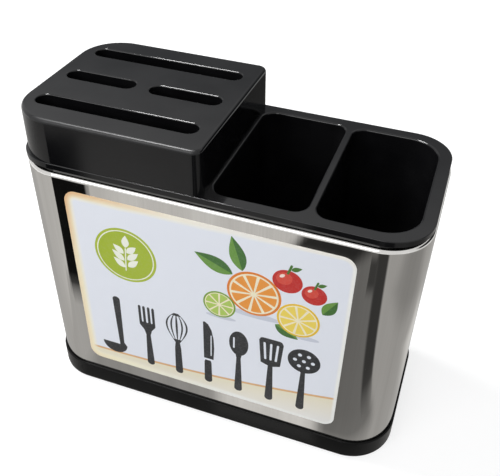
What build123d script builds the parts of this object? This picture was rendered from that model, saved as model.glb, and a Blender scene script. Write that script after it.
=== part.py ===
from build123d import *

import os
from math import radians, tan

# A free-standing holder for knives and cutlery, in millimetres.
# A steel sleeve stands in a drip base, and carries a lift-out insert with a knife block on top.
# X runs along the length, with the knife block at -X. Y runs to the back, and Z runs up.
# The origin lies under the middle of the plan, on the surface that the feet stand on.
# An inset is a distance inwards, in plan, from the outer face of the sleeve.

# Sleeve: one sheet, rolled to a rounded rectangle, with its top edge turned in
sleeve_length = 250.0
sleeve_width = 118.0
sleeve_corner_radius = 29.0
sheet_thickness = 0.6
lip_bend_radius = 2.5
lip_width = 5.0

# Label on the front of the sleeve
label_side_margin = 35.5
label_top_margin = 9.7
label_bottom_margin = 11.5  # from the top of the base up to the label
label_corner_radius = 8.0
label_thickness = 0.2

# Base: a skirt round the sleeve, a collar inside it and a sloping floor
base_height = 15.0
base_overhang = 1.5
base_wall = 2.5
base_edge_radius = 1.5
base_lip_radius = 0.5
groove_depth = 5.0
groove_clearance = 0.3
ledge_thickness = 1.6
collar_height = 14.0
collar_wall = 2.0
collar_chamfer = 0.8
floor_thickness = 2.0
floor_slope = 0.6  # degrees, falling to the spout end
rib_thickness = 1.6
rib_lift = 1.5  # from the lower edge of the skirt up to the ribs
cross_rib_shares = (-0.24, 0.0, 0.24)  # of the sleeve's length

# Rubber feet, set in bosses under the floor
foot_diameter = 13.0
foot_height = 2.2
foot_protrusion = 1.0
foot_edge_radius = 0.4
foot_recess_clearance = 0.2
foot_boss_wall = 1.8
foot_inset = 22.0

# Drain spout: a chute that pulls out of the base at the knife end
spout_width = 26.0
spout_length = 40.0
spout_wall = 1.5
spout_floor = 1.5
spout_travel = 24.0
spout_clearance = 0.3
spout_ear_width = 2.5
spout_ear_length = 4.0
spout_drip_chamfer = 0.8
spout_pull_length = 1.6
spout_pull_width = 5.0
spout_pull_height = 1.2
rail_wall = 1.6
rail_lift = 0.5  # from the lower edge of the skirt up to the rails
rail_foot_thickness = 1.2
rail_reach = 2.0  # how far a rail's foot reaches under the spout
outlet_length = 8.0
outlet_width = 18.0
outlet_corner_radius = 3.0
outlet_gap = 1.0  # from the collar to the outlet

# Insert: a rim that rests on the sleeve's lip, with three wells below it
rim_inset = 1.0
rim_corner_radius = 25.0
rim_thickness = 3.5
rim_edge_radius = 0.5
rim_shadow_gap = 2.4
rim_overlap = 2.0  # how far the rim's edge stands out past the land that it rests on
lip_clearance = 0.4
locating_depth = 8.0
tub_setback = 1.8
tub_wall = 1.8
tub_floor = 2.0
tub_floor_radius = 4.0
tub_draft = 0.5  # degrees
well_depth = 158.0  # the height of the sleeve follows from this
well_clearance = 2.6  # from the base's collar up to the wells
mouth_edge_radius = 1.2
compartment_length = 55.2
divider_width = 4.7
compartment_corner_radius = 8.5
knife_well_corner_radius = 8.0
drain_hole_diameter = 6.0
drain_hole_pitch = 16.0
drain_margin = 12.0

# Knife block: a hollow cap with four slots
block_setback = 0.5
block_height = 28.4
block_wall = 2.5
block_top_thickness = 3.0
block_draft = 1.0  # degrees
block_corner_radius = 6.5
block_edge_radius = 2.2
block_strip = 1.7  # bare rim between the block and the first compartment
block_seat_width = 8.3  # rim under the block's wall, at its divider side
slot_width = 11.5
slot_edge_radius = 0.8
slot_row_pitch = 34.8
slot_outer_margin = 9.3
slot_inner_margin = 10.5
slot_gap = 9.9
slot_guide_wall = 2.0
slot_guide_depth = 14.0
key_thickness = 2.0  # keys under the block hold it in the mouth of the knife well
key_depth = 5.0
key_width = 3.0
key_clearance = 0.3
long_side_key_shares = (0.08, 0.5, 0.92)  # of the straight side of the knife well's mouth

overrun = 1.0  # how far a cut runs past the face that it opens

# Heights
base_bottom_z = foot_protrusion
base_top_z = base_bottom_z + base_height
seat_z = base_top_z - groove_depth
ledge_bottom_z = seat_z - ledge_thickness
collar_top_z = seat_z + collar_height
well_floor_z = collar_top_z + well_clearance + tub_floor
rim_top_z = well_floor_z + well_depth
rim_bottom_z = rim_top_z - rim_thickness
rim_middle_z = rim_top_z - rim_thickness / 2
sleeve_top_z = rim_bottom_z - rim_shadow_gap
block_top_z = rim_top_z + block_height
rail_bottom_z = base_bottom_z + rail_lift
rail_top_z = rail_bottom_z + rail_foot_thickness
spout_bottom_z = rail_top_z + spout_clearance
spout_top_z = ledge_bottom_z - spout_clearance

# Insets and places in plan
skirt_inner_inset = base_wall - base_overhang
collar_outer_inset = sheet_thickness + groove_clearance
collar_inner_inset = collar_outer_inset + collar_wall
land_inset = rim_inset + rim_overlap
locating_inset = lip_width + lip_clearance
mouth_inset = locating_inset + tub_setback + tub_wall
block_inset = rim_inset + block_setback
mouth_half_width = sleeve_width / 2 - mouth_inset
mouth_high_x = sleeve_length / 2 - mouth_inset
mouth_low_x = -mouth_high_x
right_low_x = mouth_high_x - compartment_length
left_high_x = right_low_x - divider_width
left_low_x = left_high_x - compartment_length
block_right_x = left_low_x - block_strip
block_left_x = block_inset - sleeve_length / 2
block_half_width = sleeve_width / 2 - block_inset
knife_well_high_x = block_right_x - block_seat_width
end_corner_radius = sleeve_corner_radius - mouth_inset
spout_end_x = -sleeve_length / 2 - base_overhang
skirt_inner_x = spout_end_x + base_wall

# The wells, each with its two ends and the corner radius at each end
wells = (
    (mouth_low_x, knife_well_high_x, end_corner_radius, knife_well_corner_radius),
    (left_low_x, left_high_x, compartment_corner_radius, compartment_corner_radius),
    (right_low_x, mouth_high_x, compartment_corner_radius, end_corner_radius),
)

# The knife slots, each with its two ends and the middle of its row
slot_low_x = block_left_x + slot_outer_margin
slot_high_x = block_right_x - slot_inner_margin
slot_middle_x = (slot_low_x + slot_high_x) / 2
slots = (
    (slot_low_x, slot_high_x, -slot_row_pitch),
    (slot_low_x, slot_middle_x - slot_gap / 2, 0),
    (slot_middle_x + slot_gap / 2, slot_high_x, 0),
    (slot_low_x, slot_high_x, slot_row_pitch),
)


def outline(inset):
    """The rounded plan of the holder, at an inset from the sleeve's outer face."""
    return RectangleRounded(
        sleeve_length - 2 * inset,
        sleeve_width - 2 * inset,
        sleeve_corner_radius - inset,
    )


def slab(plan, low, high):
    """A plan raised between two heights."""
    return extrude(Pos(0, 0, low) * plan, high - low)


def ring(outer_inset, inner_inset, low, high):
    """A wall between two insets and two heights."""
    return slab(outline(outer_inset), low, high) - slab(outline(inner_inset), low, high)


def brick(x_ends, y_ends, z_ends):
    """A block between two places on each axis."""
    spans = [max(ends) - min(ends) for ends in (x_ends, y_ends, z_ends)]
    middles = [sum(ends) / 2 for ends in (x_ends, y_ends, z_ends)]
    return Pos(*middles) * Box(*spans)


def top_edges(shape):
    return shape.edges().group_by(Axis.Z)[-1]


def bottom_edges(shape):
    return shape.edges().group_by(Axis.Z)[0]


def hole_edges(face):
    """The edges round the openings in a flat face."""
    return [edge for wire in face.inner_wires() for edge in wire.edges()]


def make_steel_sleeve():
    body = slab(outline(0), seat_z, sleeve_top_z)
    body = fillet(top_edges(body), lip_bend_radius)
    hollow = slab(outline(sheet_thickness), seat_z - overrun, sleeve_top_z - sheet_thickness)
    hollow = fillet(top_edges(hollow), lip_bend_radius - sheet_thickness)
    mouth = slab(outline(lip_width), seat_z, sleeve_top_z + overrun)
    return body - hollow - mouth


def make_front_label():
    low_z = base_top_z + label_bottom_margin
    high_z = sleeve_top_z - label_top_margin
    width = sleeve_length - 2 * label_side_margin
    plan = RectangleRounded(width, high_z - low_z, label_corner_radius)
    plan = Pos(0, (low_z + high_z) / 2) * plan
    return extrude(Plane.XZ.offset(sleeve_width / 2) * plan, label_thickness)


def floor_underside(x):
    """Height of the tray floor's underside, which falls towards the spout end."""
    return ledge_bottom_z + (x + sleeve_length / 2) * tan(radians(floor_slope))


def beside_floor(height, side):
    """Everything on one side of the floor's slope, at a height over the spout end."""
    reach = 3 * sleeve_length
    block = Box(reach, reach, reach, align=(Align.CENTER, Align.CENTER, side))
    return Pos(-sleeve_length / 2, 0, height) * Rot(0, -floor_slope, 0) * block


def make_base_shell():
    """Skirt, sleeve groove, collar and sloping floor, open underneath."""
    shell = slab(outline(-base_overhang), base_bottom_z, base_top_z)
    shell = fillet(bottom_edges(shell), base_edge_radius)
    shell = fillet(top_edges(shell), base_lip_radius)
    collar = slab(outline(collar_outer_inset), seat_z, collar_top_z)
    collar = chamfer(top_edges(collar), collar_chamfer)
    groove = ring(-groove_clearance, collar_outer_inset, seat_z, base_top_z + overrun)
    inside = slab(outline(collar_inner_inset), base_bottom_z - overrun, collar_top_z + overrun)
    tray = inside & beside_floor(ledge_bottom_z + floor_thickness, Align.MIN)
    under_floor = inside & beside_floor(ledge_bottom_z, Align.MAX)
    under_ledge = slab(outline(skirt_inner_inset), base_bottom_z - overrun, ledge_bottom_z)
    return shell + collar - groove - tray - under_floor - under_ledge


def make_floor_ribs():
    """Stiffening ribs under the floor, clear of the spout."""
    rib_z = (base_bottom_z + rib_lift, base_top_z)
    half_rib = rib_thickness / 2
    cross_x = [share * sleeve_length for share in cross_rib_shares]
    ribs = brick((cross_x[0], sleeve_length / 2), (-half_rib, half_rib), rib_z)
    for x in cross_x:
        ribs += brick((x - half_rib, x + half_rib), (-sleeve_width / 2, sleeve_width / 2), rib_z)
    ledge_middle_z = ledge_bottom_z + ledge_thickness / 2
    room = slab(outline(skirt_inner_inset - base_wall / 2), base_bottom_z, ledge_middle_z)
    room += slab(outline(collar_inner_inset - collar_wall / 2), base_bottom_z, base_top_z)
    return ribs & room & beside_floor(ledge_bottom_z + floor_thickness / 2, Align.MAX)


def make_spout_rails():
    """Two rails that hang from the floor and carry the spout's edges."""
    web_y = spout_width / 2 + spout_ear_width + spout_clearance
    rail_end_x = spout_end_x + spout_length
    hang_z = floor_underside(rail_end_x) + floor_thickness / 2
    ends = (skirt_inner_x - base_wall / 2, rail_end_x)
    rails = []
    for side in (-1, 1):
        outer_y = side * (web_y + rail_wall)
        web = brick(ends, (side * web_y, outer_y), (rail_bottom_z, hang_z))
        foot_y = side * (spout_width / 2 - rail_reach)
        foot = brick(ends, (foot_y, outer_y), (rail_bottom_z, rail_top_z))
        rails.append(web + foot)
    return rails


def foot_places():
    """The four feet, by name, with their middles in plan."""
    x = sleeve_length / 2 - foot_inset
    y = sleeve_width / 2 - foot_inset
    return {
        "foot_front_left": (-x, -y),
        "foot_front_right": (x, -y),
        "foot_rear_left": (-x, y),
        "foot_rear_right": (x, y),
    }


def make_foot(place):
    pad = slab(Pos(*place) * Circle(foot_diameter / 2), 0, foot_height)
    return fillet(bottom_edges(pad), foot_edge_radius)


def make_base_tray():
    tray = make_base_shell() + make_floor_ribs()
    for rail in make_spout_rails():
        tray += rail
    recess_radius = foot_diameter / 2 + foot_recess_clearance
    for x, y in foot_places().values():
        boss_plan = Pos(x, y) * Circle(recess_radius + foot_boss_wall)
        tray += slab(boss_plan, base_bottom_z, floor_underside(x) + floor_thickness / 2)
    for place in foot_places().values():
        tray -= slab(Pos(*place) * Circle(recess_radius), base_bottom_z - overrun, foot_height)
    gate_y = spout_width / 2 + spout_clearance
    tray -= brick(
        (spout_end_x - overrun, skirt_inner_x + overrun),
        (-gate_y, gate_y),
        (spout_bottom_z - spout_clearance, ledge_bottom_z),
    )
    outlet_x = collar_inner_inset - sleeve_length / 2 + outlet_gap + outlet_length / 2
    outlet = RectangleRounded(outlet_length, outlet_width, outlet_corner_radius)
    return tray - slab(Pos(outlet_x, 0) * outlet, ledge_bottom_z - overrun, base_top_z)


def make_drain_spout():
    inner_x = spout_end_x + spout_length
    half_width = spout_width / 2
    body = brick((spout_end_x, inner_x), (-half_width, half_width), (spout_bottom_z, spout_top_z))
    drip_edge = body.edges().filter_by(Axis.Y).group_by(Axis.X)[0].sort_by(Axis.Z)[0]
    body = chamfer(drip_edge, spout_drip_chamfer)
    ear_x = skirt_inner_x + spout_travel + spout_clearance
    ear_y = half_width + spout_ear_width
    body += brick(
        (ear_x, ear_x + spout_ear_length),
        (-ear_y, ear_y),
        (spout_bottom_z, spout_top_z),
    )
    channel_y = half_width - spout_wall
    channel_z = spout_bottom_z + spout_floor
    body -= brick(
        (spout_end_x - overrun, inner_x - spout_wall),
        (-channel_y, channel_y),
        (channel_z, spout_top_z + overrun),
    )
    for side in (-1, 1):
        body += brick(
            (spout_end_x, spout_end_x + spout_pull_length),
            (side * (channel_y - spout_pull_width), side * channel_y),
            (channel_z, channel_z + spout_pull_height),
        )
    return body


def well_plan(low_x, high_x, low_radius, high_radius, grow):
    """A well's plan at the rim, grown outwards all round."""
    length = high_x - low_x + 2 * grow
    plan = Pos((low_x + high_x) / 2, 0) * Rectangle(length, 2 * (mouth_half_width + grow))
    plan = fillet(plan.vertices().group_by(Axis.X)[0], low_radius + grow)
    return fillet(plan.vertices().group_by(Axis.X)[-1], high_radius + grow)


def tapered_down(plan, top, depth, draft):
    """A plan lowered from a height, narrowing by the draft on every side."""
    return Pos(0, 0, top) * Rot(180, 0, 0) * extrude(plan, depth, taper=draft)


def drain_holes(low_x, high_x):
    """A grid of holes through the floor of a well."""
    columns = int((high_x - low_x - 2 * drain_margin) // drain_hole_pitch) + 1
    rows = int((2 * mouth_half_width - 2 * drain_margin) // drain_hole_pitch) + 1
    grid = GridLocations(drain_hole_pitch, drain_hole_pitch, columns, rows)
    middle = Pos((low_x + high_x) / 2, 0)
    hole = Circle(drain_hole_diameter / 2)
    low_z = well_floor_z - tub_floor - overrun
    return [slab(middle * place * hole, low_z, well_floor_z + overrun) for place in grid]


def make_cutlery_insert():
    rim_plan = RectangleRounded(
        sleeve_length - 2 * rim_inset,
        sleeve_width - 2 * rim_inset,
        rim_corner_radius,
    )
    insert = slab(rim_plan, rim_bottom_z, rim_top_z)
    insert = fillet(top_edges(insert), rim_edge_radius)
    ring_inset = mouth_inset - tub_wall / 2
    insert += ring(land_inset, ring_inset, sleeve_top_z, rim_middle_z)
    insert += ring(locating_inset, ring_inset, sleeve_top_z - locating_depth, rim_middle_z)
    tub_depth = rim_middle_z - well_floor_z + tub_floor
    for well in wells:
        tub = tapered_down(well_plan(*well, tub_wall), rim_middle_z, tub_depth, tub_draft)
        insert += fillet(bottom_edges(tub), tub_floor_radius)
    for well in wells:
        hollow = tapered_down(well_plan(*well, 0), rim_top_z, well_depth, tub_draft)
        insert -= fillet(bottom_edges(hollow), tub_floor_radius)
        insert -= slab(well_plan(*well, 0), rim_top_z, rim_top_z + overrun)
        insert -= drain_holes(*well[:2])
    top_face = insert.faces().sort_by(Axis.Z)[-1]
    return fillet(hole_edges(top_face), mouth_edge_radius)


def block_plan(inset):
    """The knife block's plan, moved inwards from its outer face at the foot."""
    high_x = block_right_x - inset
    low_x = -sleeve_length / 2
    left_part = Pos((low_x + high_x) / 2, 0) * Rectangle(high_x - low_x, sleeve_width)
    plan = outline(block_inset + inset) & left_part
    return fillet(plan.vertices().group_by(Axis.X)[-1], block_corner_radius - inset)


def slot_prism(slot, grow, low, high):
    low_x, high_x, row_y = slot
    plan = SlotOverall(high_x - low_x + 2 * grow, slot_width + 2 * grow)
    return slab(Pos((low_x + high_x) / 2, row_y) * plan, low, high)


def make_block_keys():
    """Thin upright plates inside the block that reach down into the knife well's mouth."""
    plate_z = (rim_top_z, block_top_z - block_top_thickness / 2)
    tongue_z = (rim_top_z - key_depth, plate_z[1])
    half_key = key_thickness / 2
    wall_middle = block_wall / 2
    keys = []
    side_low_x = mouth_low_x + end_corner_radius
    side_high_x = knife_well_high_x - knife_well_corner_radius
    for share in long_side_key_shares:
        x = side_low_x + share * (side_high_x - side_low_x)
        across = (x - half_key, x + half_key)
        tongue_y = mouth_half_width - key_clearance
        for side in (-1, 1):
            inner_y = side * (tongue_y - key_width)
            plate_y = (side * (block_half_width - wall_middle), inner_y)
            keys.append(brick(across, plate_y, plate_z))
            keys.append(brick(across, (side * tongue_y, inner_y), tongue_z))
    for y in (-slot_row_pitch / 2, slot_row_pitch / 2):
        across = (y - half_key, y + half_key)
        left_tongue_x = mouth_low_x + key_clearance
        left_inner_x = left_tongue_x + key_width
        keys.append(brick((block_left_x + wall_middle, left_inner_x), across, plate_z))
        keys.append(brick((left_tongue_x, left_inner_x), across, tongue_z))
        right_tongue_x = knife_well_high_x - key_clearance
        right_inner_x = right_tongue_x - key_width
        keys.append(brick((block_right_x - wall_middle, right_inner_x), across, plate_z))
        keys.append(brick((right_tongue_x, right_inner_x), across, tongue_z))
    return keys


def make_knife_block():
    ceiling_z = block_top_z - block_top_thickness
    outer = extrude(Pos(0, 0, rim_top_z) * block_plan(0), block_height, taper=block_draft)
    outer = fillet(top_edges(outer), block_edge_radius)
    room_height = block_height - block_top_thickness
    room = extrude(Pos(0, 0, rim_top_z) * block_plan(block_wall), room_height, taper=block_draft)
    block = outer - room
    for key in make_block_keys():
        block += key & (outer + slab(block_plan(block_wall), rim_top_z - key_depth, rim_top_z))
    guide_z = ceiling_z - slot_guide_depth
    for slot in slots:
        block += slot_prism(slot, slot_guide_wall, guide_z, ceiling_z + block_top_thickness / 2)
    for slot in slots:
        block -= slot_prism(slot, 0, guide_z - overrun, block_top_z + overrun)
    top_face = block.faces().sort_by(Axis.Z)[-1]
    return fillet(hole_edges(top_face), slot_edge_radius)


nodes = {
    "base_tray": make_base_tray(),
    "drain_spout": make_drain_spout(),
    "steel_sleeve": make_steel_sleeve(),
    "front_label": make_front_label(),
    "cutlery_insert": make_cutlery_insert(),
    "knife_block": make_knife_block(),
}
for foot_name, foot_place in foot_places().items():
    nodes[foot_name] = make_foot(foot_place)

os.makedirs("parts", exist_ok=True)
for node_name, shape in nodes.items():
    shape.label = node_name
    export_step(shape, f"parts/{node_name}.step")
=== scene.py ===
from math import cos, pi, radians, sin

import bmesh
import bpy
from mathutils import Matrix, Vector


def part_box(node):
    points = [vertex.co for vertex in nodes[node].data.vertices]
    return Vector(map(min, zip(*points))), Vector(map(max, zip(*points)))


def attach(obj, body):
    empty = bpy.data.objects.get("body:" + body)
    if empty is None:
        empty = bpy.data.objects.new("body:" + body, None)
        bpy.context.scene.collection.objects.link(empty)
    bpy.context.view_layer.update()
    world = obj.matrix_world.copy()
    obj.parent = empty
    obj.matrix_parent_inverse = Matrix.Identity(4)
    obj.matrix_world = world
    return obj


# The look of a cutlery holder: its materials, the print on its label and a white studio round it.
# Lengths are in metres. The print and the reflection cards are laid out in millimetres.

MM = 0.001
INK_LAYER = 0.00004

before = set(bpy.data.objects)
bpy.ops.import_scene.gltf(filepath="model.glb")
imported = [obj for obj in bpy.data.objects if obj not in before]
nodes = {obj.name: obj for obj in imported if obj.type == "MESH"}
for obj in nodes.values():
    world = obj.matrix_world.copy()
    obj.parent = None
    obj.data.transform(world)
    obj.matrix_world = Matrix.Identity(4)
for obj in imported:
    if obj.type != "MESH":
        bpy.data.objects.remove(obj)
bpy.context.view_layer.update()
label_low, label_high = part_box("front_label")
block_low, block_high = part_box("knife_block")


def linear(red, green, blue):
    """A colour given as 0 to 255 on a screen, as the renderer wants it."""
    levels = [value / 255 for value in (red, green, blue)]
    parts = [v / 12.92 if v <= 0.04045 else ((v + 0.055) / 1.055) ** 2.4 for v in levels]
    return (*parts, 1.0)


def link(obj):
    """An object put into the scene."""
    bpy.context.scene.collection.objects.link(obj)
    return obj


class Graph:
    """The nodes of one material or world."""

    def __init__(self, owner):
        owner.use_nodes = True
        self.tree = owner.node_tree
        self.tree.nodes.clear()

    def feed(self, socket, value):
        """Sets a socket to a value, or joins it to another node's output."""
        if isinstance(value, bpy.types.NodeSocket):
            self.tree.links.new(value, socket)
        else:
            socket.default_value = value

    def add(self, kind, inputs=None, **settings):
        """A new node, with its settings made and its sockets fed."""
        node = self.tree.nodes.new(kind)
        for name, value in settings.items():
            setattr(node, name, value)
        for name, value in (inputs or {}).items():
            self.feed(node.inputs[name], value)
        return node

    def math(self, operation, *values):
        inputs = dict(enumerate(values))
        return self.add("ShaderNodeMath", inputs, operation=operation).outputs[0]

    def place(self):
        """The place on the object, in metres."""
        return self.add("ShaderNodeTexCoord").outputs["Object"]

    def axes(self, vector):
        """The outputs X, Y and Z of a vector."""
        return self.add("ShaderNodeSeparateXYZ", {"Vector": vector}).outputs

    def stretch(self, vector, scale):
        mapping = self.add("ShaderNodeMapping", {"Vector": vector, "Scale": scale})
        return mapping.outputs["Vector"]

    def noise(self, vector, scale, detail=2.0):
        inputs = {"Vector": vector, "Scale": scale, "Detail": detail}
        return self.add("ShaderNodeTexNoise", inputs).outputs["Fac"]

    def spread(self, value, low, high, to_low=0.0, to_high=1.0):
        """A value brought from one range to another, and held inside it."""
        inputs = {
            "Value": value,
            "From Min": low,
            "From Max": high,
            "To Min": to_low,
            "To Max": to_high,
        }
        return self.add("ShaderNodeMapRange", inputs).outputs["Result"]

    def mix(self, share, first, second):
        """A colour between two others."""
        node = self.add("ShaderNodeMix", data_type="RGBA")
        sockets = {s.identifier: s for s in node.inputs}
        wanted = {"Factor_Float": share, "A_Color": first, "B_Color": second}
        for name, value in wanted.items():
            self.feed(sockets[name], value)
        return [s for s in node.outputs if s.identifier == "Result_Color"][0]

    def bump(self, height, distance, strength=1.0, normal=None):
        inputs = {"Height": height, "Distance": distance, "Strength": strength}
        if normal is not None:
            inputs["Normal"] = normal
        return self.add("ShaderNodeBump", inputs).outputs["Normal"]

    def surface(self, **sockets):
        inputs = {name.replace("_", " "): value for name, value in sockets.items()}
        shader = self.add("ShaderNodeBsdfPrincipled", inputs).outputs["BSDF"]
        self.add("ShaderNodeOutputMaterial", {"Surface": shader})


# Materials


def make_plastic(name, dark, light, rough_low, rough_high, shine, matt_edge=0.0):
    """Black moulded plastic with a fine grain and uneven gloss.

    matt_edge is how much rougher the knife block's rounded top front edge is.
    """
    edge_height, edge_depth = 0.0023, 0.0027
    material = bpy.data.materials.new(name)
    graph = Graph(material)
    place = graph.place()
    clouds = graph.noise(place, 38.0, 3.0)
    grain = graph.noise(place, 1500.0, 2.0)
    rough = graph.spread(clouds, 0.3, 0.7, rough_low, rough_high)
    if matt_edge:
        axes = graph.axes(place)
        at_top = graph.math("GREATER_THAN", axes["Z"], block_high.z - edge_height)
        at_front = graph.math("LESS_THAN", axes["Y"], block_low.y + edge_depth)
        at_edge = graph.math("MULTIPLY", at_top, at_front)
        rough = graph.math("MULTIPLY_ADD", at_edge, matt_edge, rough)
    graph.surface(
        Base_Color=graph.mix(graph.spread(clouds, 0.35, 0.65), dark, light),
        Roughness=rough,
        Specular_IOR_Level=shine,
        Normal=graph.bump(grain, 0.00002, 0.5),
    )
    return material


def make_steel(name):
    """Polished sheet: near-mirror, with upright polishing streaks, slow waves and a seam behind."""
    seam_half, seam_edge = 0.0004, 0.0009
    back_y = 0.05
    dull, bright, seam = (0.56, 0.55, 0.53, 1), (0.68, 0.67, 0.65, 1), (0.30, 0.29, 0.28, 1)
    material = bpy.data.materials.new(name)
    graph = Graph(material)
    place = graph.place()
    waves = graph.noise(graph.stretch(place, (11.0, 11.0, 4.0)), 1.0, 1.0)
    bands = graph.noise(graph.stretch(place, (55.0, 55.0, 1.5)), 1.0, 1.0)
    streaks = graph.noise(graph.stretch(place, (170.0, 170.0, 3.0)), 1.0, 2.0)
    lines = graph.noise(graph.stretch(place, (900.0, 900.0, 5.0)), 1.0, 3.0)
    worn = graph.math("MULTIPLY_ADD", lines, 0.4, graph.math("MULTIPLY", streaks, 0.6))
    shade = graph.math("MULTIPLY_ADD", worn, 0.4, graph.math("MULTIPLY", bands, 0.6))
    axes = graph.axes(place)
    beside_seam = graph.spread(graph.math("ABSOLUTE", axes["X"]), seam_half, seam_edge)
    no_seam = graph.math("MAXIMUM", beside_seam, graph.math("LESS_THAN", axes["Y"], back_y))
    tone = graph.mix(graph.spread(shade, 0.35, 0.65), dull, bright)
    rough = graph.spread(worn, 0.35, 0.65, 0.016, 0.04)
    relief = graph.bump(streaks, 0.000015, 1.0, graph.bump(waves, 0.00015))
    graph.surface(
        Base_Color=graph.mix(no_seam, seam, tone),
        Metallic=1.0,
        Roughness=graph.math("MAXIMUM", rough, graph.spread(no_seam, 0.0, 1.0, 0.4, 0.0)),
        Normal=graph.bump(no_seam, 0.0002, 1.0, relief),
    )
    return material


def make_rubber(name):
    """Soft black rubber with a coarse, matt grain."""
    material = bpy.data.materials.new(name)
    graph = Graph(material)
    grain = graph.noise(graph.place(), 2200.0, 3.0)
    graph.surface(
        Base_Color=graph.mix(grain, (0.02, 0.02, 0.02, 1), (0.04, 0.04, 0.04, 1)),
        Roughness=graph.spread(grain, 0.3, 0.7, 0.62, 0.82),
        Specular_IOR_Level=0.3,
        Normal=graph.bump(grain, 0.00008),
    )
    return material


def label_depth(graph, x, z):
    """How far a point lies inside the label's outline, which has round corners."""
    corner = 0.008
    half_x = (label_high.x - label_low.x) / 2
    half_z = (label_high.z - label_low.z) / 2
    middle_z = (label_low.z + label_high.z) / 2
    over_x = graph.math("SUBTRACT", graph.math("ABSOLUTE", x), half_x - corner)
    from_middle = graph.math("ABSOLUTE", graph.math("SUBTRACT", z, middle_z))
    over_z = graph.math("SUBTRACT", from_middle, half_z - corner)
    square_x = graph.math("POWER", graph.math("MAXIMUM", over_x, 0.0), 2.0)
    square_z = graph.math("POWER", graph.math("MAXIMUM", over_z, 0.0), 2.0)
    round_part = graph.math("SQRT", graph.math("ADD", square_x, square_z))
    flat_part = graph.math("MINIMUM", graph.math("MAXIMUM", over_x, over_z), 0.0)
    return graph.math("SUBTRACT", corner, graph.math("ADD", round_part, flat_part))


def make_label_paper(name):
    """Coated paper in pale lavender, with a cream border and a cream sweep along the bottom."""
    lavender, pale_lavender = (0.79, 0.82, 0.895, 1), (0.85, 0.875, 0.935, 1)
    cream, warm_cream, pale_cream = (0.86, 0.79, 0.60, 1), (0.96, 0.90, 0.66, 1), (0.92, 0.92, 0.88, 1)
    stone, line_brown, edge_brown = (0.86, 0.85, 0.82, 1), (0.74, 0.44, 0.20, 1), (0.80, 0.48, 0.23, 1)
    sweep_low, sweep_rise, sweep_fade = 0.038, 0.018, 0.024
    warm_foot_z = 0.12
    material = bpy.data.materials.new(name)
    graph = Graph(material)
    place = graph.place()
    axes = graph.axes(place)
    x, z = axes["X"], axes["Z"]
    inside = label_depth(graph, x, z)
    along = graph.spread(x, label_low.x, label_high.x)
    fibres = graph.noise(place, 700.0, 4.0)
    field = graph.mix(graph.noise(place, 9.0, 1.0), lavender, pale_lavender)

    sweep_z = graph.math("MULTIPLY_ADD", graph.math("POWER", along, 2.0), sweep_rise, sweep_low)
    over_sweep = graph.math("SUBTRACT", z, sweep_z)
    sweep = graph.mix(graph.spread(over_sweep, -sweep_fade, 0.0), stone, cream)
    colour = graph.mix(graph.spread(over_sweep, -0.0003, 0.0003), sweep, field)
    from_line = graph.math("ABSOLUTE", over_sweep)
    colour = graph.mix(graph.spread(from_line, 0.0007, 0.0011), line_brown, colour)

    from_left = graph.spread(along, 0.0, 0.4, 0.0, 0.9)
    from_top = graph.spread(z, label_high.z, warm_foot_z, 0.0, 0.7)
    faded = graph.math("MINIMUM", graph.math("ADD", from_left, from_top), 1.0)
    inner = graph.mix(graph.spread(along, 0.1, 0.6), warm_cream, pale_cream)
    outer = graph.mix(faded, edge_brown, inner)
    border = graph.mix(graph.spread(inside, 0.0009, 0.005), outer, inner)
    wide_left = graph.spread(along, 0.03, 0.3, 1.3, 0.85)
    wide_right = graph.spread(along, 0.35, 0.9, 1.0, 0.45)
    share = graph.math("DIVIDE", inside, graph.math("MINIMUM", wide_left, wide_right))
    colour = graph.mix(graph.spread(share, 0.003, 0.0062), border, colour)
    graph.surface(
        Base_Color=colour,
        Roughness=graph.spread(fibres, 0.3, 0.7, 0.34, 0.46),
        Specular_IOR_Level=0.4,
        Normal=graph.bump(fibres, 0.00001, 0.4),
    )
    return material


def make_ink(name, colour):
    """Printing ink, with the slight unevenness of a print run."""
    material = bpy.data.materials.new(name)
    graph = Graph(material)
    specks = graph.noise(graph.place(), 900.0, 2.0)
    thin = tuple(0.92 * value + 0.04 for value in colour[:3]) + (1.0,)
    graph.surface(
        Base_Color=graph.mix(graph.spread(specks, 0.45, 0.75), colour, thin),
        Roughness=graph.spread(specks, 0.3, 0.7, 0.3, 0.42),
        Specular_IOR_Level=0.4,
    )
    return material


base_dark, base_light = (0.003, 0.003, 0.003, 1), (0.005, 0.005, 0.005, 1)
top_dark, top_light = (0.0035, 0.0035, 0.004, 1), (0.006, 0.006, 0.0065, 1)
base_plastic = make_plastic("base_plastic", base_dark, base_light, 0.22, 0.3, 0.1)
top_plastic = make_plastic("top_plastic", top_dark, top_light, 0.07, 0.11, 0.3, matt_edge=0.28)
steel = make_steel("stainless")
rubber = make_rubber("foot_rubber")
paper = make_label_paper("label_paper")

finishes = {
    "base_tray": base_plastic,
    "drain_spout": base_plastic,
    "steel_sleeve": steel,
    "front_label": paper,
    "cutlery_insert": top_plastic,
    "knife_block": top_plastic,
    "foot_front_left": rubber,
    "foot_front_right": rubber,
    "foot_rear_left": rubber,
    "foot_rear_right": rubber,
}
for node_name, finish in finishes.items():
    nodes[node_name].data.materials.clear()
    nodes[node_name].data.materials.append(finish)

# The label's print: flat shapes in millimetres, across the label and up from the floor


def turned(points, degrees, x, z):
    """Points turned about the origin, then moved."""
    c, s = cos(radians(degrees)), sin(radians(degrees))
    return [(x + c * u - s * v, z + s * u + c * v) for u, v in points]


def oval(x, z, half_width, half_height, degrees=0.0, steps=48):
    angles = [2 * pi * i / steps for i in range(steps)]
    return turned([(half_width * cos(a), half_height * sin(a)) for a in angles], degrees, x, z)


def disc(x, z, radius, steps=72):
    return oval(x, z, radius, radius, steps=steps)


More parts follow.
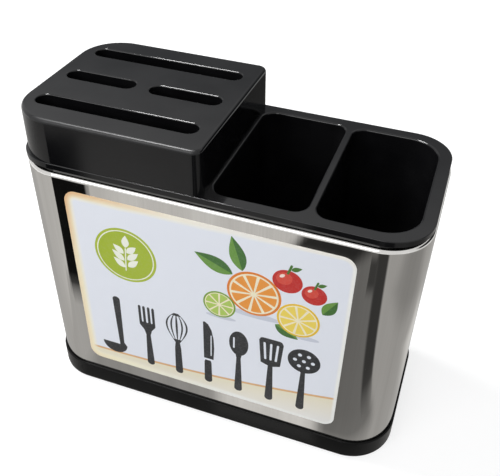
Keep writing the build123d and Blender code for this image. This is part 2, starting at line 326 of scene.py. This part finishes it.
def arc(x, z, radius, start, end, steps=12):
    """Points on a circle between two angles in degrees."""
    angles = [radians(start + (end - start) * i / steps) for i in range(steps + 1)]
    return [(x + radius * cos(a), z + radius * sin(a)) for a in angles]


def bar(x0, z0, x1, z1, width):
    """A straight stroke with round ends."""
    along = Vector((x1 - x0, z1 - z0))
    degrees = Vector((1, 0)).angle_signed(along) * -180 / pi
    ends = arc(along.length, 0.0, width / 2, -90, 90) + arc(0.0, 0.0, width / 2, 90, 270)
    return turned(ends, degrees, x0, z0)


def mirrored(half):
    """An outline from its right half, which is given from the bottom up."""
    return half + [(-u, v) for u, v in half[::-1]]


def placed(shapes, x, z, scale):
    """Shapes drawn on the origin, made larger and moved to their place."""
    return [[(x + scale * u, z + scale * v) for u, v in shape] for shape in shapes]


def leaf(x, z, length, width, degrees, upper_half=False):
    """A pointed leaf from its stalk, whole or its upper half."""
    shares = [i / 16 for i in range(17)]
    upper = [(length * t, width / 2 * sin(pi * t ** 0.8)) for t in shares]
    lower = [] if upper_half else [(u, -v) for u, v in upper[-2:0:-1]]
    return turned(upper + lower, degrees, x, z)


def slice_segments(x, z, radius, count, twist):
    """The segments of a cut fruit, blunt at the rim and pointed at the core."""
    core, flesh, gap = 0.10 * radius, 0.84 * radius, 4
    step = 360 / count
    segments = []
    for i in range(count):
        start, end = twist + i * step + gap, twist + (i + 1) * step - gap
        middle = radians((start + end) / 2)
        tip = (x + core * cos(middle), z + core * sin(middle))
        segments.append(arc(x, z, flesh, start, end, 8) + [tip])
    return segments


def print_piece(name, shapes, colour, layer):
    """One ink as closed prisms that stand on the label, higher for a later layer."""
    face_y = label_low.y
    ink_y = face_y - INK_LAYER * layer
    mesh = bmesh.new()
    for shape in shapes:
        back = [mesh.verts.new((u * MM, face_y, v * MM)) for u, v in shape]
        front = [mesh.verts.new((u * MM, ink_y, v * MM)) for u, v in shape]
        mesh.faces.new(back)
        mesh.faces.new(front[::-1])
        for i in range(len(shape)):
            j = (i + 1) % len(shape)
            mesh.faces.new((back[j], back[i], front[i], front[j]))
    bmesh.ops.recalc_face_normals(mesh, faces=mesh.faces)
    data = bpy.data.meshes.new(name)
    mesh.to_mesh(data)
    mesh.free()
    data.materials.append(make_ink(name, colour))
    piece = link(bpy.data.objects.new(name, data))
    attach(piece, "sleeve")


# Kitchen tools, each drawn upright on the origin
handle = arc(0.0, 2.2, 2.2, -80, 0)
whisk_foot, whisk_height = 22, 25
skimmer_z = 37.5


def fork():
    outer_prong = [(4.6, 31), (4.6, 44.2), (4.2, 45), (3.5, 45), (3.1, 44.2), (3.1, 33.6), (2.6, 33)]
    inner_prong = [(2.1, 33.6), (2.1, 44.2), (1.7, 45), (1.0, 45), (0.6, 44.2), (0.6, 33.6), (0.3, 33.1)]
    return [mirrored(handle + [(1.3, 24), (2.2, 27.5)] + outer_prong + inner_prong)]


def knife():
    edge = [(3.2, 19), (3.7, 28), (3.4, 35), (2.4, 41), (0.6, 45), (-1.4, 46.4)]
    blade = [(-2.2, 19)] + edge + [(-2.2, 46)]
    return [mirrored(handle + [(2.0, 16), (1.5, 17.6)]), blade]


def spoon():
    angles = [radians(-72 + 158 * i / 18) for i in range(19)]
    bowl = [(5.2 * cos(a), 37 + 8.8 * sin(a)) for a in angles]
    return [mirrored(handle + [(1.2, 26)] + bowl)]


def turner():
    return [mirrored(handle + [(1.3, 27), (5.2, 28.5), (6.4, 44.5), (5.6, 46.3), (4.4, 46.8)])]


def ladle():
    bowl = arc(-4.4, 9.5, 7.4, 180, 355, 20)
    return [bowl + [(1.4, 11.5), (2.1, 44.5)] + arc(0.0, 44.5, 2.1, 0, 180)[1:] + [(-1.3, 9.5)]]


def whisk_wire(share, part=1.0):
    """A point on a whisk's wire, by its share of the height and of the half width."""
    half_width = 6.2 * sin(pi * share ** 1.35) ** 0.8
    return (part * half_width, whisk_foot + whisk_height * share)


def whisk():
    wires = [whisk_wire(0.1 + 0.87 * i / 20) for i in range(21)]
    return [mirrored(handle + [(1.8, 20)] + wires)]


def whisk_gaps():
    """The openings between a whisk's wires."""
    shares = [0.2 + 0.7 * i / 16 for i in range(17)]
    gaps = []
    for inner, outer in ((0.1, 0.42), (0.58, 0.84), (-0.42, -0.1), (-0.84, -0.58)):
        rise = [whisk_wire(t, outer) for t in shares]
        gaps.append(rise + [whisk_wire(t, inner) for t in shares[::-1]])
    return gaps


def skimmer():
    return [mirrored(handle + [(1.2, 29)] + arc(0.0, skimmer_z, 8.4, -80, 86, 24))]


def skimmer_holes():
    ring, hole = 4.6, 1.05
    angles = [pi * i / 3 for i in range(6)]
    places = [(ring * cos(a), skimmer_z + ring * sin(a)) for a in angles] + [(0.0, skimmer_z)]
    return [disc(x, z, hole, 20) for x, z in places]


tools_z = 35.5
tools_scale = 1.25
first_tool_x, tool_pitch = -63.0, 21.5
gleams = {
    whisk: whisk_gaps(),
    knife: [bar(1.9, 22, 2.1, 37, 0.6)],
    spoon: [bar(-2.6, 33.5, -2.6, 40.5, 0.9)],
    turner: [bar(u, 32, u * 1.25, 43, 1.2) for u in (-2.8, 0.0, 2.8)],
    skimmer: skimmer_holes(),
}
tools = []
tool_gleams = []
for i, draw in enumerate((ladle, fork, whisk, knife, spoon, turner, skimmer)):
    tool_x = first_tool_x + tool_pitch * i
    tools += placed(draw(), tool_x, tools_z, tools_scale)
    tool_gleams += placed(gleams.get(draw, []), tool_x, tools_z, tools_scale)

badge_x, badge_z = -52.0, 132.0
sprig = [bar(badge_x - 0.6, badge_z - 12, badge_x + 0.6, badge_z + 6, 0.8)]
for step, reach in enumerate((10.0, 10.5, 9.0)):
    leaf_z = badge_z - 8.5 + 5.6 * step
    sprig.append(leaf(badge_x + 1.2, leaf_z, reach, 4.6, 42))
    sprig.append(leaf(badge_x - 0.9, leaf_z - 1.2, reach, 4.6, 138))
sprig.append(leaf(badge_x + 0.7, badge_z + 6.8, 9.6, 5.0, 86))

# Fruit, by its middle and radius, and leaves, by their stalk, length, width and angle
orange_x, orange_z, orange_r = 32.0, 128.0, 17.0
lemon_x, lemon_z, lemon_r = 60.0, 116.0, 13.2
lime_x, lime_z, lime_r = 10.0, 112.0, 10.6
reds = ((51.8, 144.6, 9.0), (68.0, 139.0, 7.5))
greens = (
    (18.6, 139.6, 26, 11, 157),
    (24.6, 144, 25, 10, 106),
    (74, 126, 15, 8, 58),
    (46, 108, 17, 8.5, -28),
)
shades = [
    oval(orange_x + 1, orange_z - 17.2, 17, 2.4),
    oval(lemon_x + 1, lemon_z - 13.0, 13, 2.0),
    oval(lime_x + 1, lime_z - 10.4, 10, 1.6),
]
piths = [
    disc(orange_x, orange_z, 15.4),
    disc(lemon_x, lemon_z, 11.9),
    disc(lime_x, lime_z, 9.5, 60),
]
orange_flesh = slice_segments(orange_x, orange_z, orange_r, 10, 8)
lemon_flesh = slice_segments(lemon_x, lemon_z, lemon_r, 9, 20)
lime_flesh = slice_segments(lime_x, lime_z, lime_r, 8, 0)
red_lights = [oval(x - 0.22 * r, z + 0.2 * r, 0.55 * r, 0.5 * r, 30) for x, z, r in reds]
red_gleams = [oval(x - 0.36 * r, z + 0.4 * r, 0.2 * r, 0.12 * r, 40) for x, z, r in reds]
stalks = []
for x, z, r in reds:
    stalks.append(bar(x, z + 0.7 * r, x + 0.2 * r, z + 1.35 * r, 0.16 * r))
    stalks.append(leaf(x + 0.2 * r, z + 1.02 * r, 0.75 * r, 0.34 * r, 24))

# The inks, each with its layer: two that overlap never share one
print_piece("print_shade", shades, (0.62, 0.65, 0.74, 1), 0.5)
print_piece("print_charcoal", tools, linear(38, 39, 42), 1)
print_piece("print_gleam", tool_gleams, (0.81, 0.84, 0.91, 1), 2)
print_piece("print_badge", [disc(badge_x, badge_z, 21)], linear(172, 190, 48), 1)
print_piece("print_badge_ring", [disc(badge_x, badge_z, 19.4)], linear(240, 243, 224), 2)
print_piece("print_badge_field", [disc(badge_x, badge_z, 18.6)], linear(166, 186, 44), 3)
print_piece("print_sprig", sprig, linear(244, 246, 232), 4)
print_piece("print_leaf_dark", [leaf(*g) for g in greens], linear(62, 110, 46), 1)
print_piece("print_leaf_light", [leaf(*g, upper_half=True) for g in greens], linear(104, 150, 62), 2)
print_piece("print_rind_orange", [disc(orange_x, orange_z, orange_r)], linear(226, 128, 36), 2)
print_piece("print_rind_yellow", [disc(lemon_x, lemon_z, lemon_r)], linear(236, 196, 44), 3)
print_piece("print_rind_green", [disc(lime_x, lime_z, lime_r, 60)], linear(120, 160, 40), 3)
print_piece("print_pith", piths, linear(247, 238, 208), 4)
print_piece("print_flesh_orange", orange_flesh, linear(238, 152, 56), 5)
print_piece("print_flesh_yellow", lemon_flesh, linear(243, 216, 92), 5)
print_piece("print_flesh_green", lime_flesh, linear(176, 204, 92), 5)
print_piece("print_red", [oval(x, z, r, r * 0.94) for x, z, r in reds], linear(196, 40, 34), 3)
print_piece("print_red_light", red_lights, linear(216, 74, 58), 4)
print_piece("print_red_gleam", red_gleams, linear(250, 226, 214), 5)
print_piece("print_stalk", stalks, linear(72, 118, 44), 5)

# Stage: a pale floor, a white world, soft light and cards that the polished sheet mirrors


def background_rays(graph):
    """1 for rays that should meet the white background."""
    path = graph.add("ShaderNodeLightPath").outputs
    seen = graph.math("MAXIMUM", path["Is Camera Ray"], path["Is Glossy Ray"])
    return graph.math("MAXIMUM", seen, path["Is Transmission Ray"])


def make_world():
    """White to the camera and in mirrors, and a soft bluish light on everything else."""
    world = bpy.data.worlds.new("studio")
    bpy.context.scene.world = world
    graph = Graph(world)
    soft = graph.add("ShaderNodeBackground", {"Color": (0.95, 0.97, 1.0, 1), "Strength": 0.4})
    white = graph.add("ShaderNodeBackground", {"Color": (1, 1, 1, 1), "Strength": 1.0})
    inputs = {0: background_rays(graph), 1: soft.outputs[0], 2: white.outputs[0]}
    mixed = graph.add("ShaderNodeMixShader", inputs)
    graph.add("ShaderNodeOutputWorld", {"Surface": mixed.outputs[0]})


def make_floor():
    """A pale floor that keeps the shadow near the object and goes to white further out."""
    half = 4.0
    near, far = 0.5, 1.5
    near_level = 0.76
    data = bpy.data.meshes.new("floor")
    corners = [(-half, -half, 0), (half, -half, 0), (half, half, 0), (-half, half, 0)]
    data.from_pydata(corners, [], [(0, 1, 2, 3)])
    material = bpy.data.materials.new("floor")
    graph = Graph(material)
    pale = graph.add("ShaderNodeBsdfDiffuse", {"Color": (0.34, 0.34, 0.34, 1)})
    away = graph.add("ShaderNodeVectorMath", {0: graph.place()}, operation="LENGTH")
    level = graph.spread(away.outputs["Value"], near, far, near_level, 1.0)
    strength = graph.math("MULTIPLY", background_rays(graph), level)
    glow = graph.add("ShaderNodeEmission", {"Strength": strength})
    both = graph.add("ShaderNodeAddShader", {0: pale.outputs[0], 1: glow.outputs[0]})
    graph.add("ShaderNodeOutputMaterial", {"Surface": both.outputs[0]})
    data.materials.append(material)
    link(bpy.data.objects.new("floor", data))


def make_card(name, corners, height, level, side_fade, end_fade, tint=(1.0, 0.98, 0.95, 1)):
    """A card that only reflections see, at a height over the floor.

    Its corners go round in order. It fades towards the edges: end_fade is the share of the way
    from the first corner to the second, and side_fade of the way from the second to the third.
    """
    steps = 24
    row = steps + 1
    a, b, c, d = [Vector(corner).to_3d() + Vector((0, 0, height)) for corner in corners]
    points = []
    cover = []
    for i in range(row):
        for j in range(row):
            u, v = i / steps, j / steps
            points.append(a.lerp(b, u).lerp(d.lerp(c, u), v) * MM)
            inward = min(min(u, 1 - u) / end_fade, min(v, 1 - v) / side_fade, 1.0)
            cover.append(inward * inward * (3 - 2 * inward))
    faces = [
        (i * row + j, (i + 1) * row + j, (i + 1) * row + j + 1, i * row + j + 1)
        for i in range(steps)
        for j in range(steps)
    ]
    data = bpy.data.meshes.new(name)
    data.from_pydata(points, [], faces)
    data.attributes.new("cover", "FLOAT", "POINT").data.foreach_set("value", cover)
    material = bpy.data.materials.new(name)
    graph = Graph(material)
    share = graph.add("ShaderNodeAttribute", attribute_name="cover").outputs["Fac"]
    clear = graph.add("ShaderNodeBsdfTransparent")
    glow = graph.add("ShaderNodeEmission", {"Color": tint, "Strength": level})
    mixed = graph.add("ShaderNodeMixShader", {0: share, 1: clear.outputs[0], 2: glow.outputs[0]})
    graph.add("ShaderNodeOutputMaterial", {"Surface": mixed.outputs[0]})
    data.materials.append(material)
    card = link(bpy.data.objects.new(name, data))
    card.visible_camera = False
    card.visible_diffuse = False
    card.visible_transmission = False
    card.visible_shadow = False


def make_softbox(name, spot, aim, width, height, power):
    data = bpy.data.lights.new(name, "AREA")
    data.shape = "RECTANGLE"
    data.size = width
    data.size_y = height
    data.energy = power
    lamp = link(bpy.data.objects.new(name, data))
    towards = Vector(aim) - Vector(spot)
    turn = towards.to_track_quat("-Z", "Y").to_matrix().to_4x4()
    lamp.matrix_world = Matrix.Translation(spot) @ turn
    lamp.visible_camera = False


def make_camera():
    """The camera at the photograph's place and angle."""
    azimuth, elevation, roll = radians(18.822), radians(38.946), radians(1.509)
    spot = (0.124268, -0.33959, 0.409097)
    back = Vector((sin(azimuth) * cos(elevation), -cos(azimuth) * cos(elevation), sin(elevation)))
    level = Vector((cos(azimuth), sin(azimuth), 0))
    rise = back.cross(level)
    right = level * cos(roll) + rise * sin(roll)
    up = rise * cos(roll) - level * sin(roll)
    data = bpy.data.cameras.new("camera")
    data.sensor_fit = "HORIZONTAL"
    data.sensor_width = 36.0
    data.lens = 49.706
    data.clip_start = 0.01
    camera = link(bpy.data.objects.new("camera", data))
    turn = Matrix((right, up, back)).transposed().to_4x4()
    camera.matrix_world = Matrix.Translation(spot) @ turn
    bpy.context.scene.camera = camera


# Cards that lie just over the floor: corners, height, level, and how far sides and ends fade
floor_cards = {
    "card_round": (((-900, -900), (900, -900), (900, 900), (-900, 900)), 0.1, 0.47, 0.3, 0.3),
    "card_left": (((-90, -40), (-60, -460), (-480, -460), (-480, 60)), 0.2, 0.64, 0.25, 0.25),
    "card_front": (((-200, -110), (-330, -460), (50, -460), (40, -110)), 0.3, 0.76, 0.12, 0.2),
    "card_near_left": (((-136, -64), (-204, -150), (-124, -150), (-86, -64)), 0.4, 0.5, 0.12, 0.2),
    "card_front_left": (
        ((-166, -122), (-392, -390), (-302, -390), (-112, -122)), 0.5, 0.007, 0.08, 0.1
    ),
    "card_front_right": (((60, -58), (10, -480), (240, -480), (156, -58)), 0.4, 0.2, 0.22, 0.05),
    "card_right_streak": (((126, -78), (108, -480), (335, -480), (150, -78)), 0.5, 0.05, 0.2, 0.1),
    "card_right_shade": (((80, -212), (74, -285), (150, -285), (146, -212)), 0.6, 0.06, 0.35, 0.35),
    "card_far_right": (((-8, -238), (20, -480), (150, -480), (66, -238)), 0.7, 0.03, 0.2, 0.1),
    "card_foot_left": (((-106, -60), (-112, -92), (0, -92), (12, -60)), 0.6, 0.4, 0.1, 0.25),
    "card_foot_right": (((2, -60), (-14, -92), (80, -92), (84, -60)), 0.7, 0.85, 0.15, 0.25),
    "card_right": (((225, -190), (225, 100), (440, 140), (440, -220)), 0.6, 0.34, 0.25, 0.3),
    "card_right_spot": (((130, -5), (215, -15), (240, 120), (130, 130)), 0.7, 0.75, 0.45, 0.45),
    "card_behind": (((-20, 230), (-20, 640), (330, 640), (330, 230)), 0.2, 0.08, 0.4, 0.4),
}
cool = (0.94, 0.97, 1.0, 1)
back_corners = ((-2500, 1400, 0), (2500, 1400, 0), (2500, 1400, 1400), (-2500, 1400, 1400))
side_corners = ((1150, -200, 130), (350, 1000, 130), (350, 1000, 760), (1150, -200, 760))

make_world()
make_floor()
for card_name, card_values in floor_cards.items():
    make_card(card_name, *card_values)
make_card("card_back", back_corners, 0.0, 0.27, 0.39, 0.1, cool)
make_card("card_side", side_corners, 0.0, 0.02, 0.25, 0.2, cool)
make_softbox("softbox_top", (-0.4, 0.05, 1.15), (-0.4, 0.05, 0.1), 0.22, 0.3, 17.0)
make_softbox("softbox_front", (-0.4, -1.3, 1.05), (0.0, 0.0, 0.1), 1.3, 0.9, 15.0)
make_camera()
bpy.context.scene.view_settings.view_transform = "Standard"
